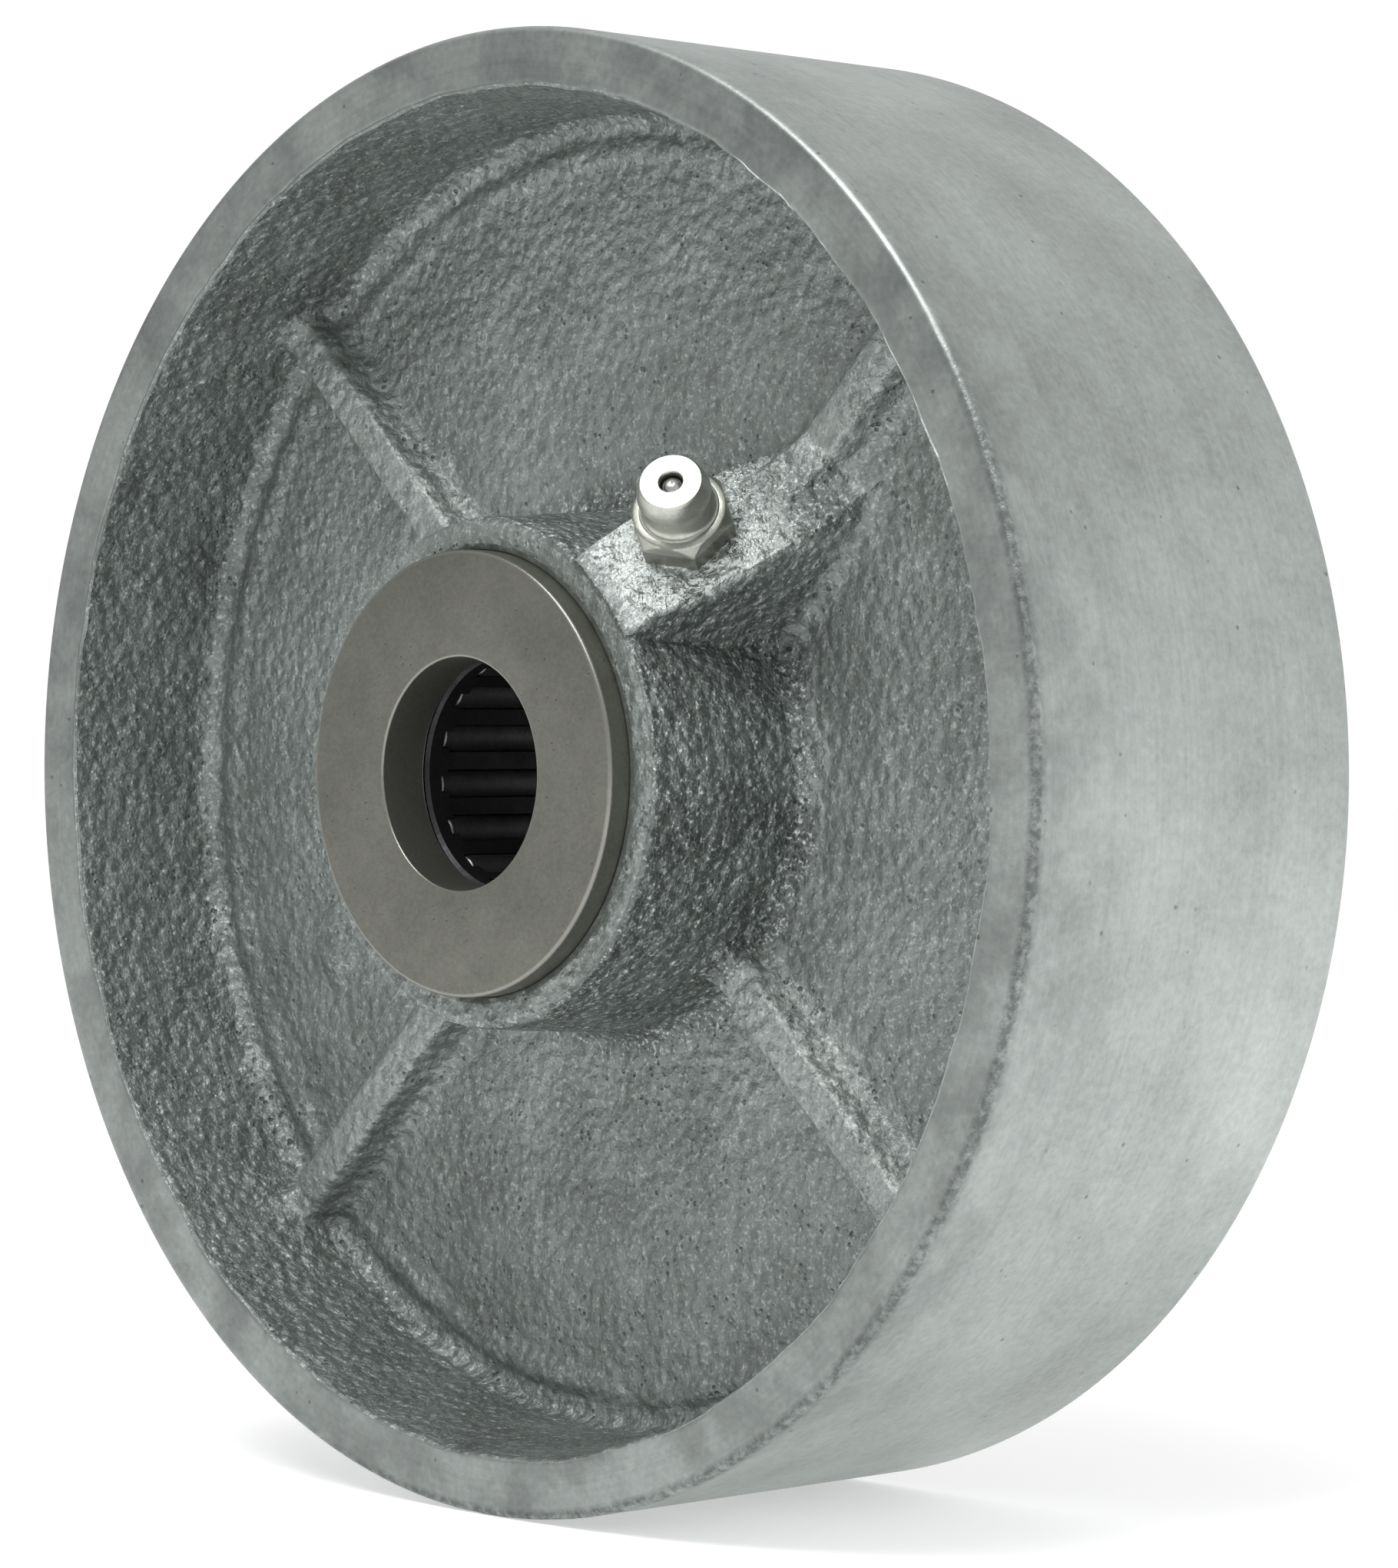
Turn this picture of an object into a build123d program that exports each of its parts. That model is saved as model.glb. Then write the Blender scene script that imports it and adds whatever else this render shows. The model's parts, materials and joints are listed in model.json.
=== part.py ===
from build123d import *
import math
import os

# Cast wheel with a caged straight roller bearing, retaining washers and a grease fitting.
# The wheel's centre is the origin and it turns about Y.  The grease fitting is on the -Y face.
# All sizes are in millimetres.

FRONT = -1
BACK = 1

# Wheel casting: rim, web, ribs and hub
wheel_diameter = 127.0
tread_width = 38.1
tread_corner_radius = 1.0
rim_edge_thickness = 5.1
rim_edge_radius = 0.8
wall_draft_angle = 3.5
web_thickness = 7.0
web_corner_radius = 3.0
bead_width = 1.4
bead_height = 0.8
bead_gap = 0.4
rib_count = 4
first_rib_angle = 45.0
rib_height = 3.2
rib_top_width = 3.6
rib_side_angle = 18.0
rib_top_radius = 0.5
rib_root_radius = 2.0
hub_stand_out = 1.05
hub_lip = 2.75
hub_edge_radius = 0.5

# Retaining washers, pressed into the hub's counterbores
washer_diameter = 38.1
washer_thickness = 4.76
washer_stand_out = 2.125
washer_fit = 0.02
washer_axle_clearance = 0.395
washer_edge = 0.5
washer_hole_edge = 0.3

# Roller bearing for a 3/4 inch axle
axle_diameter = 19.05
axle_clearance = 0.24
roller_diameter = 3.175
roller_count = 16
first_roller_angle = 5.5
roller_end_radius = 0.3
race_clearance = 0.10
race_wall = 1.1
race_end_clearance = 0.1
cage_end_play = 0.25
cage_ring_width = 2.4
cage_ring_edge = 0.3
cage_bore_clearance = 0.1
cage_race_clearance = 0.3
pocket_depth = 0.8
pocket_clearance = 0.12
roller_end_clearance = 0.1
bar_inset = 0.4
bar_race_clearance = 0.6

# Grease fitting, 1/4-28 thread with a 5/16 inch hexagon, on a sloping face of the front rib
ramp_angle = 45.0
ramp_set_back = 0.35
hex_flats = 7.94
hex_height = 2.6
hex_bevel = 0.5
hex_turn = -15.0
boss_edge = 0.5
boss_side_step = -0.5
boss_side_angle = 6.0
fitting_ramp_distance = 6.1
fitting_side_step = 1.0
collar_diameter = 6.6
collar_height = 0.2
neck_diameter = 5.2
neck_height = 4.7
shoulder_height = 5.2
head_diameter = 6.26
head_top_diameter = 5.24
fitting_height = 6.9
shank_diameter = 6.35
shank_length = 5.2
thread_clearance = 0.03
thread_run_out = 0.5
grease_hole = 3.2
inlet_hole = 1.7
spring_bore = 2.9
spring_seat_height = 0.6
mouth_diameter = 2.0
mouth_length = 0.8
seat_length = 0.6
ball_diameter = 2.38
ball_clearance = 0.04
spring_wire = 0.3
spring_mean_diameter = 1.7
spring_turns = 5
spring_clearance = 0.03

# Sizes that follow from the ones above
wheel_radius = wheel_diameter / 2
rim_half = tread_width / 2
rim_inner_radius = wheel_radius - rim_edge_thickness
web_half = web_thickness / 2
draft = math.tan(math.radians(wall_draft_angle))
rim_root_radius = rim_inner_radius - draft * (rim_half - web_half)
hub_half = rim_half + hub_stand_out
washer_radius = washer_diameter / 2
washer_hole = axle_diameter + 2 * washer_axle_clearance
hub_radius = washer_radius + hub_lip
hub_root_radius = hub_radius + draft * (hub_half - web_half)
washer_outer_face = hub_half + washer_stand_out
washer_inner_face = washer_outer_face - washer_thickness
rib_top = web_half + rib_height

roller_radius = roller_diameter / 2
roller_circle = axle_diameter / 2 + axle_clearance + roller_radius
race_inner_radius = roller_circle + roller_radius + race_clearance
race_outer_radius = race_inner_radius + race_wall
cage_inner_radius = axle_diameter / 2 + axle_clearance + cage_bore_clearance
cage_outer_radius = race_inner_radius - cage_race_clearance
cage_outer_face = washer_inner_face - cage_end_play
cage_inner_face = cage_outer_face - cage_ring_width
pocket_floor = cage_inner_face + pocket_depth
roller_half = pocket_floor - roller_end_clearance
pocket_radius = roller_radius + pocket_clearance

ramp_slope = math.tan(math.radians(ramp_angle))
ramp_top_radius = hub_radius + ramp_set_back
boss_width = hex_flats + 2 * boss_edge
fitting_seat_radius = ramp_top_radius + fitting_ramp_distance


def at_angle(shape, angle):
    """Turn a shape about Y, so that 0 is +X and 90 is +Z."""
    return shape.rotate(Axis.Y, -angle)


def round_corners(face, points, radius):
    """Round the corners of a flat outline that lie at the given points."""
    corners = [face.vertices().sort_by_distance(Vector(*point, 0))[0] for point in points]
    return fillet(corners, radius)


def ring(outline):
    """Turn an outline of (radius, y) points into a solid of revolution about Y."""
    return revolve(outline, axis=Axis.Y)


def tube(inner, outer, low, high):
    """A plain ring about Y between two y values."""
    return ring(make_face(Polyline((inner, low), (outer, low), (outer, high), (inner, high), close=True)))


def half_section():
    """The casting's section on the front side of the web's middle plane, with a bead by the rim."""
    hub_corner = (hub_radius, -hub_half)
    hub_root = (hub_root_radius, -web_half)
    rim_root = (rim_root_radius, -web_half)
    rim_edge = (rim_inner_radius, -rim_half)
    tread_corner = (wheel_radius, -rim_half)
    bead_start = (rim_root_radius - bead_gap - bead_width, -web_half)
    bead_top = (rim_root_radius - bead_gap - bead_width / 2, -web_half - bead_height)
    bead_end = (rim_root_radius - bead_gap, -web_half)
    hub_side = Polyline(
        bead_start,
        hub_root,
        hub_corner,
        (washer_radius + washer_fit, -hub_half),
        (washer_radius + washer_fit, -washer_inner_face),
        (race_outer_radius, -washer_inner_face),
        (race_outer_radius, 0),
    )
    rim_side = Polyline(
        (race_outer_radius, 0),
        (wheel_radius, 0),
        tread_corner,
        rim_edge,
        rim_root,
        bead_end,
    )
    face = make_face(hub_side + rim_side + ThreePointArc(bead_end, bead_top, bead_start))
    face = round_corners(face, [hub_corner], hub_edge_radius)
    face = round_corners(face, [hub_root], web_corner_radius)
    face = round_corners(face, [rim_edge], rim_edge_radius)
    return round_corners(face, [tread_corner], tread_corner_radius)


def rib(angle, side):
    """One tapered rib from the hub to the rim, with a flared root on the web."""
    top = rib_top_width / 2
    root = top + rib_height * math.tan(math.radians(rib_side_angle))
    foot = root + rib_root_radius
    outline = make_face(
        Polyline(
            (-foot, 0),
            (-foot, web_half),
            (-root, web_half),
            (-top, rib_top),
            (top, rib_top),
            (root, web_half),
            (foot, web_half),
            (foot, 0),
            close=True,
        )
    )
    outline = round_corners(outline, [(-root, web_half), (root, web_half)], rib_root_radius)
    outline = round_corners(outline, [(-top, rib_top), (top, rib_top)], rib_top_radius)
    start = hub_radius - hub_lip / 2
    length = rim_inner_radius + rim_edge_thickness / 2 - start
    section = Plane(origin=(start, 0, 0), x_dir=(0, 0, 1), z_dir=(1, 0, 0))
    body = extrude(section * outline, length)
    return at_angle(body if side == FRONT else body.mirror(Plane.XZ), angle)


def ramp_boss():
    """The block on the first front rib whose sloping face carries the grease fitting."""
    height = hub_half - web_half
    top = boss_width / 2
    root = top + height * math.tan(math.radians(boss_side_angle))
    outline = make_face(
        Polyline((-root, -web_half), (-top, -hub_half), (top, -hub_half), (root, -web_half), close=True)
    )
    start = hub_radius - hub_lip / 2
    ramp_foot = ramp_top_radius + height / ramp_slope
    section = Plane(origin=(start, 0, boss_side_step), x_dir=(0, 0, -1), z_dir=(1, 0, 0))
    block = extrude(section * outline, ramp_foot - start)
    below_ramp = make_face(
        Polyline(
            (start, -web_half),
            (start, -hub_half),
            (ramp_top_radius, -hub_half),
            (ramp_foot, -web_half),
            close=True,
        )
    )
    return at_angle(block & extrude(below_ramp, 2 * root, both=True), first_rib_angle)


def fitting_place():
    """The seat of the grease fitting on the sloping face, with Z out of the face."""
    y = fitting_ramp_distance / ramp_slope - hub_half
    turn = math.radians(first_rib_angle)
    slope = math.radians(ramp_angle)
    outward = (math.sin(slope) * math.cos(turn), -math.cos(slope), math.sin(slope) * math.sin(turn))
    across = (-math.sin(turn), 0, math.cos(turn))
    middle = Vector(fitting_seat_radius * math.cos(turn), y, fitting_seat_radius * math.sin(turn))
    return Plane(origin=middle + fitting_side_step * Vector(*across), x_dir=across, z_dir=outward)


def grease_passage():
    """The drilling from the fitting's seat to the inside of the bearing race."""
    seat = fitting_place()
    reach = fitting_seat_radius - race_inner_radius
    depth = reach / math.sin(math.radians(ramp_angle)) + race_wall
    return seat * Pos(0, 0, -depth / 2) * Cylinder(grease_hole / 2, depth)


def wheel_casting():
    half = ring(half_section())
    casting = half + half.mirror(Plane.XZ)
    for side in (FRONT, BACK):
        for index in range(rib_count):
            casting += rib(first_rib_angle + index * 360 / rib_count, side)
    casting += ramp_boss()
    depth = shank_length + thread_run_out
    tapped = fitting_place() * Pos(0, 0, -depth / 2)
    casting -= tapped * Cylinder(shank_diameter / 2 + thread_clearance, depth)
    return casting - grease_passage()


def retaining_washer(side):
    inner, outer = washer_hole / 2, washer_radius
    near, far = side * washer_inner_face, side * washer_outer_face
    face = make_face(Polyline((inner, near), (outer, near), (outer, far), (inner, far), close=True))
    outer_corner = face.vertices().sort_by_distance(Vector(outer, far, 0))[0]
    face = chamfer(outer_corner, washer_edge)
    hole_corners = [face.vertices().sort_by_distance(Vector(inner, y, 0))[0] for y in (near, far)]
    return ring(chamfer(hole_corners, washer_hole_edge))


def outer_race():
    end = washer_inner_face - race_end_clearance
    return tube(race_inner_radius, race_outer_radius, -end, end) - grease_passage()


def roller_angle(index):
    return first_roller_angle + index * 360 / roller_count


def pocket(index, low, high):
    """The round space that the cage leaves for one roller."""
    cutter = Cylinder(pocket_radius, high - low).rotate(Axis.X, 90)
    return at_angle(Pos(roller_circle, (low + high) / 2, 0) * cutter, roller_angle(index))


def cage_ring(side):
    near, far = side * cage_inner_face, side * cage_outer_face
    outline = Polyline(
        (cage_inner_radius, near),
        (cage_outer_radius, near),
        (cage_outer_radius, far),
        (cage_inner_radius, far),
        close=True,
    )
    face = make_face(outline)
    corners = [face.vertices().sort_by_distance(Vector(x, far, 0))[0]
               for x in (cage_inner_radius, cage_outer_radius)]
    body = ring(chamfer(corners, cage_ring_edge))
    low, high = sorted((side * (cage_inner_face - pocket_depth), side * pocket_floor))
    for index in range(roller_count):
        body -= pocket(index, low, high)
    return body


def cage_bars():
    """The bars between the rollers, hollow on both flanks so that they keep the rollers apart."""
    inner = cage_inner_radius + bar_inset
    outer = race_inner_radius - bar_race_clearance
    body = tube(inner, outer, -cage_inner_face, cage_inner_face)
    for index in range(roller_count):
        body -= pocket(index, -washer_inner_face, washer_inner_face)
    return body


def roller(index):
    body = Cylinder(roller_radius, 2 * roller_half).rotate(Axis.X, 90)
    body = fillet(body.edges().filter_by(GeomType.CIRCLE), roller_end_radius)
    return at_angle(Pos(roller_circle, 0, 0) * body, roller_angle(index))


def upright_ring(points):
    """A solid of revolution about Z from (radius, z) points."""
    return revolve(make_face(Plane.XZ * Polyline(*points, close=True)), axis=Axis.Z)


def hexagon():
    """The hexagon with its top corners turned down to a cone."""
    body = extrude(RegularPolygon(hex_flats / 2, 6, major_radius=False), hex_height)
    corner = hex_flats / math.sqrt(3)
    flat = hex_flats / 2
    turned = upright_ring(
        [(0, 0), (corner, 0), (corner, hex_height - hex_bevel), (flat, hex_height), (0, hex_height)]
    )
    return Rot(0, 0, hex_turn) * (body & turned)


def fitting_body():
    neck_base = hex_height + collar_height
    outer = upright_ring(
        [
            (0, hex_height),
            (collar_diameter / 2, hex_height),
            (collar_diameter / 2, neck_base),
            (neck_diameter / 2, neck_height),
            (head_diameter / 2, shoulder_height),
            (head_top_diameter / 2, fitting_height),
            (0, fitting_height),
        ]
    )
    shank = Pos(0, 0, -shank_length / 2) * Cylinder(shank_diameter / 2, shank_length)
    body = hexagon() + outer + shank
    seat_top = fitting_height - mouth_length
    bore = upright_ring(
        [
            (0, -shank_length),
            (inlet_hole / 2, -shank_length),
            (inlet_hole / 2, spring_seat_height),
            (spring_bore / 2, spring_seat_height),
            (spring_bore / 2, seat_top - seat_length),
            (mouth_diameter / 2, seat_top),
            (mouth_diameter / 2, fitting_height),
            (0, fitting_height),
        ]
    )
    return fitting_place() * (body - bore)


def ball_height():
    """Where the ball's centre rests, just clear of the seat's cone."""
    rise = seat_length
    run = (spring_bore - mouth_diameter) / 2
    slant = math.hypot(rise, run)
    seat_top = fitting_height - mouth_length
    reach = ball_diameter / 2 + ball_clearance
    return seat_top + (rise * mouth_diameter / 2 - reach * slant) / run


def check_ball():
    return fitting_place() * Pos(0, 0, ball_height()) * Sphere(ball_diameter / 2)


def check_spring():
    """The coil spring between its seat and the ball."""
    coil = spring_mean_diameter / 2
    low = spring_seat_height + spring_wire / 2 + spring_clearance
    reach = (ball_diameter + spring_wire) / 2 + spring_clearance
    high = ball_height() - math.sqrt(reach ** 2 - coil ** 2)
    path = Helix(pitch=(high - low) / spring_turns, height=high - low, radius=coil)
    wire = Plane(origin=path @ 0, z_dir=path % 0) * Circle(spring_wire / 2)
    return fitting_place() * Pos(0, 0, low) * sweep(wire, path=path)


def all_parts():
    parts = {
        "wheel_casting": wheel_casting(),
        "outer_race": outer_race(),
        "retaining_washer_front": retaining_washer(FRONT),
        "retaining_washer_back": retaining_washer(BACK),
        "cage_ring_front": cage_ring(FRONT),
        "cage_ring_back": cage_ring(BACK),
        "cage_bars": cage_bars(),
        "grease_fitting_body": fitting_body(),
        "grease_check_ball": check_ball(),
        "grease_check_spring": check_spring(),
    }
    for index in range(roller_count):
        parts[f"roller_{index + 1:02d}"] = roller(index)
    return parts


os.makedirs("parts", exist_ok=True)
for node, shape in all_parts().items():
    export_step(shape, f"parts/{node}.step")

print("mouth of the grease fitting", fitting_place().from_local_coords((0, 0, fitting_height)))
print("fitting axis", fitting_place().z_dir)
print("roller turns for each cage turn", -(roller_circle + roller_radius) / roller_radius)
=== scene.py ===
"""A cast wheel with a roller bearing and a grease fitting, dressed around its fixed mechanical frame."""

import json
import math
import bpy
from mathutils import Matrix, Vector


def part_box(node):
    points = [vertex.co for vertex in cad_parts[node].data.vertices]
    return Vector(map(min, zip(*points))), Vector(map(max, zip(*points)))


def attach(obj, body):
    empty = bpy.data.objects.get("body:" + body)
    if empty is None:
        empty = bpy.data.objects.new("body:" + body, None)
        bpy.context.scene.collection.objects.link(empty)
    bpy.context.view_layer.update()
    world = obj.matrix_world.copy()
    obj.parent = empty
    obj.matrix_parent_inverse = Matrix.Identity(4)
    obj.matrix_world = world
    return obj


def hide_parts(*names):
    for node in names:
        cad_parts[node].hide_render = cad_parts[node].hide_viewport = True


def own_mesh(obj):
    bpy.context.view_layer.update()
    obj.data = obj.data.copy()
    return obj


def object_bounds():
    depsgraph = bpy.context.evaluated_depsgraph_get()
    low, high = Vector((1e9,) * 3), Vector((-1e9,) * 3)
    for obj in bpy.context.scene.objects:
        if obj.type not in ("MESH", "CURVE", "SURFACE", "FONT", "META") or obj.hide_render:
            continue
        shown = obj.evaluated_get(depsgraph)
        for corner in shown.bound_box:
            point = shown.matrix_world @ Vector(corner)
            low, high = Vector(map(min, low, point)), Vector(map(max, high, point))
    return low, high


bl_info = {
    "name": "Cast Wheel",
    "version": (1, 0, 0),
    "blender": (4, 5, 0),
    "location": "3D View > Sidebar > Cast Wheel",
    "description": "Builds the skin, the finishes and the stage of a cast iron roller bearing wheel",
    "category": "Object",
}

import bpy
import numpy as np
from bpy.props import FloatProperty, FloatVectorProperty, IntProperty, PointerProperty
from mathutils import Vector, noise

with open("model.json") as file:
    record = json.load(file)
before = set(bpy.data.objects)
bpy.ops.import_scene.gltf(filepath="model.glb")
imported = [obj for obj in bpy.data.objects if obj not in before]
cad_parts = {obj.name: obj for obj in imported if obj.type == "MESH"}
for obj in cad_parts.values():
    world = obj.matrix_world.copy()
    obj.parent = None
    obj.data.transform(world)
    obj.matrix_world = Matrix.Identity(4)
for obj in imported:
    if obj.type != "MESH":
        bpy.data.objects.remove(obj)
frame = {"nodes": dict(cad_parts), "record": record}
cad_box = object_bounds()

MM = 0.001
FRONT = -1
BACK = 1
casting_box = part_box("wheel_casting")
front_washer_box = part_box("retaining_washer_front")
race_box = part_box("outer_race")
wheel_radius_mm = casting_box[1].z / MM
hub_face_mm = casting_box[1].y / MM
washer_radius_mm = front_washer_box[1].z / MM
washer_outer_mm = -front_washer_box[0].y / MM
washer_inner_mm = -front_washer_box[1].y / MM
race_radius_mm = race_box[1].z / MM
grease_mount = next(m for m in frame["record"]["mounts"] if m["name"] == "grease_nipple")
fitting_mouth = Vector(grease_mount["pos_m"]) / MM
fitting_axis = Vector(grease_mount["axis"]).normalized()


def length(name, text, millimetres):
    """A size in millimetres for a property group."""
    return FloatProperty(name=name, description=text, default=millimetres, precision=3)


def angle(name, text, degrees):
    """An angle for a property group."""
    return FloatProperty(name=name, description=text, default=math.radians(degrees), subtype="ANGLE")


def colour(name, text, value):
    """A linear colour for a property group."""
    return FloatVectorProperty(name=name, description=text, default=value, subtype="COLOR", min=0, max=1)


class CastWheelCasting(bpy.types.PropertyGroup):
    """Sizes of the casting in millimetres, as on the mechanical frame."""

    rib_count: IntProperty(name="Ribs", description="Ribs on each side of the web", default=4)
    first_rib: angle("First rib", "Angle of the first rib", 45)
    tread: length("Tread", "Width of the tread", 38.1)
    rim: length("Rim edge", "Thickness of the rim at its edge", 5.1)
    rim_round: length("Rim round", "Round on the rim's inner edge", 0.3)
    rim_wave: length("Rim wave", "Waviness of the rim's cast inner edge", 0.24)
    corner: length("Tread corner", "Round on the tread's corners", 0.7)
    draft: angle("Draft", "Draft of hub and rim walls", 3.5)
    web: length("Web", "Thickness of the web", 7.0)
    hub_root: length("Hub root", "Round between the web and the hub", 1.9)
    rim_root: length("Rim root", "Round between the web and the rim", 2.0)
    bead: length("Bead height", "Height of the bead beside the rim", 0.66)
    bead_width: length("Bead width", "Width of the bead beside the rim", 2.3)
    hub_lip: length("Hub lip", "Width of the hub's face around the washer", 2.75)
    hub_round: length("Hub round", "Round on the hub's outer edge", 0.75)
    rib_height: length("Rib height", "Height of a rib above the web", 3.2)
    rib_top: length("Rib top", "Width of a rib's top", 3.6)
    rib_lean: angle("Rib lean", "Lean of a rib's sides", 18)
    rib_root: length("Rib root", "Round at the foot of a rib", 2.3)
    rib_edge: length("Rib edge", "Softness of a rib's top edges", 1.5)
    ramp_start: length("Ramp start", "Distance from the hub's edge to the ramp", 0.35)
    boss_half: length("Boss half width", "Half the width of the ramp at the hub's face", 4.47)
    boss_step: length("Boss step", "Sideways step of the ramp from its rib", -0.5)
    boss_lean: angle("Boss lean", "Lean of the ramp's sides", 6)
    boss_root: length("Boss root", "Round at the foot of the ramp's sides", 2.0)
    boss_edge: length("Boss edge", "Softness of the ramp's side edges", 0.8)
    ramp_blend: length("Ramp blend", "Softness of the ramp's foot", 5.0)
    roughness: length("Cast roughness", "Height of the waves in the cast skin", 0.2)


class CastWheelParts(bpy.types.PropertyGroup):
    """Sizes of the washers and the grease fitting in millimetres."""

    washer_edge: length("Washer edge", "Bevel on a washer's outer edge", 0.38)
    washer_hole_edge: length("Washer hole edge", "Bevel in a washer's hole", 0.24)
    hex_flats: length("Hexagon", "Width of the hexagon across its flats", 7.94)
    hex_height: length("Hexagon height", "Height of the hexagon", 2.6)
    hex_turn: angle("Hexagon turn", "Turn of the hexagon about its axis", -15)
    collar: length("Collar", "Diameter of the collar on the hexagon", 6.6)
    neck: length("Neck", "Diameter of the neck", 5.66)
    neck_height: length("Neck height", "Height of the neck's top above the seat", 4.7)
    shoulder_height: length("Shoulder height", "Height of the head's shoulder above the seat", 5.2)
    head: length("Head", "Diameter of the head's shoulder", 6.26)
    head_top: length("Head top", "Diameter of the head's flat top", 5.24)
    fitting_height: length("Fitting height", "Height of the fitting above its seat", 6.9)
    shank: length("Shank", "Diameter of the threaded shank", 6.35)
    shank_length: length("Shank length", "Length of the threaded shank", 5.2)
    mouth: length("Mouth", "Diameter of the grease mouth", 2.0)
    mouth_length: length("Mouth length", "Depth of the grease mouth", 0.8)
    seat_length: length("Ball seat", "Length of the ball's cone", 0.6)
    bore: length("Bore", "Diameter of the bore behind the ball", 2.9)
    spring_seat: length("Spring seat", "Height of the spring's step above the seat", 0.6)
    inlet: length("Inlet", "Diameter of the hole through the shank", 1.7)
    spring_low: length("Spring low", "Height of the spring's first coil above the seat", 0.78)
    spring_high: length("Spring high", "Height of the spring's last coil above the seat", 4.31)
    spring_coil: length("Spring coil", "Mean diameter of the spring's coils", 1.7)
    spring_wire: length("Spring wire", "Diameter of the spring's wire", 0.3)
    spring_turns: IntProperty(name="Spring turns", description="Coils of the spring", default=5)
    spring_travel: length("Spring travel", "How far the ball pushes the spring's last coil", 0.83)


class CastWheelColours(bpy.types.PropertyGroup):
    """Linear colours of the finishes."""

    # Dark iron also serves as painted shade on the tread and along the lower right of the front corner.
    iron_dark: colour("Dark iron", "Pits and cracks of the cast skin", (0.055, 0.063, 0.061))
    iron: colour("Iron", "Cast skin", (0.31, 0.34, 0.325))
    # Painted highlight colour: the lighter ramp and rib tops and the glints of the cast skin.
    iron_highlight: colour("Light iron", "Rubbed high spots of the cast skin", (0.66, 0.70, 0.68))
    turned: colour("Turned iron", "Turned rim face and tread", (0.47, 0.505, 0.485))
    washer: colour("Washer", "Pressed steel washers", (0.168, 0.170, 0.146))
    # Washer edge colour: a painted highlight on the washers' bevels.
    washer_edge: colour("Washer edge", "Rubbed edges of the washers", (0.36, 0.355, 0.33))
    washer_speck: colour("Washer speck", "Tiny stains on the washers", (0.05, 0.045, 0.04))
    zinc: colour("Zinc", "Bright zinc plating", (0.55, 0.565, 0.50))
    # Colour the hexagon is darkened towards, low down and on its ledge.
    hex_dark: colour("Grime", "Dirt on the fitting's hexagon", (0.10, 0.10, 0.08))
    bearing: colour("Bearing steel", "Ground and oily steel", (0.20, 0.20, 0.205))
    cage: colour("Cage steel", "Dark steel of the cage", (0.055, 0.056, 0.06))
    ball: colour("Ball", "Polished ball", (0.62, 0.62, 0.63))
    floor: colour("Floor", "Pale floor", (0.90, 0.90, 0.90))


class CastWheelStage(bpy.types.PropertyGroup):
    """Where the camera stands and how strong the lights are."""

    azimuth: angle("Azimuth", "Camera's turn about the wheel", 46.185)
    elevation: angle("Elevation", "Camera's height angle", 0.622)
    distance: FloatProperty(
        name="Distance", description="Camera to the wheel's centre", default=0.44096, unit="LENGTH"
    )
    aside: FloatProperty(
        name="Aside", description="Sideways step of the camera", default=0.004445, unit="LENGTH"
    )
    rise: FloatProperty(
        name="Rise", description="Upward step of the camera", default=-0.00103, unit="LENGTH"
    )
    lens: FloatProperty(name="Lens", description="Focal length in millimetres", default=115.0)
    world: FloatProperty(name="World", description="Strength of the light surroundings", default=0.66)
    world_turn: FloatProperty(
        name="World turn",
        description="How much brighter the surroundings are behind the tread",
        default=0.20,
    )
    key: FloatProperty(name="Key", description="Power of the overhead light", default=3.9)
    fill: FloatProperty(name="Fill", description="Power of the side light", default=0.8)


def settings(group):
    """One of the scene's property groups."""
    return getattr(bpy.context.scene, "cast_wheel_" + group)


# Shader building


class Wire:
    """A shader socket in arithmetic: each operation adds one Math node."""

    def __init__(self, finish, socket):
        self.finish = finish
        self.socket = socket

    def math(self, operation, *others, clamp=False):
        values = dict(enumerate((self, *others)))
        return self.finish.node("ShaderNodeMath", {"operation": operation, "use_clamp": clamp}, values)

    def __add__(self, other):
        return self.math("ADD", other)

    __radd__ = __add__

    def __mul__(self, other):
        return self.math("MULTIPLY", other)

    __rmul__ = __mul__

    def __sub__(self, other):
        return self.math("SUBTRACT", other)

    def __rsub__(self, other):
        return self.finish.node("ShaderNodeMath", {"operation": "SUBTRACT"}, {0: other, 1: self})

    def __truediv__(self, other):
        return self.math("DIVIDE", other)

    def __pow__(self, other):
        return self.math("POWER", other)

    def between(self, low, high):
        """0 below low, 1 above high, straight between them."""
        return ((self - low) / (high - low)).math("ADD", 0, clamp=True)


class Graph:
    """A node tree under construction."""

    def __init__(self, tree):
        self.tree = tree
        self.tree.nodes.clear()

    def node(self, kind, options, values, output=0):
        """Add a node, set its options, then fill its sockets with numbers, vectors, colours or wires."""
        node = self.tree.nodes.new(kind)
        for option, value in options.items():
            setattr(node, option, value)
        for socket, value in values.items():
            if isinstance(value, Wire):
                self.tree.links.new(value.socket, node.inputs[socket])
            else:
                node.inputs[socket].default_value = value
        return None if output is None else Wire(self, node.outputs[output])

    def mix(self, factor, low, high):
        """A colour between two colours."""
        options = {"data_type": "RGBA", "blend_type": "MIX", "clamp_factor": True}
        values = {0: factor, 6: opaque(low), 7: opaque(high)}
        return self.node("ShaderNodeMix", options, values, 2)


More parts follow.
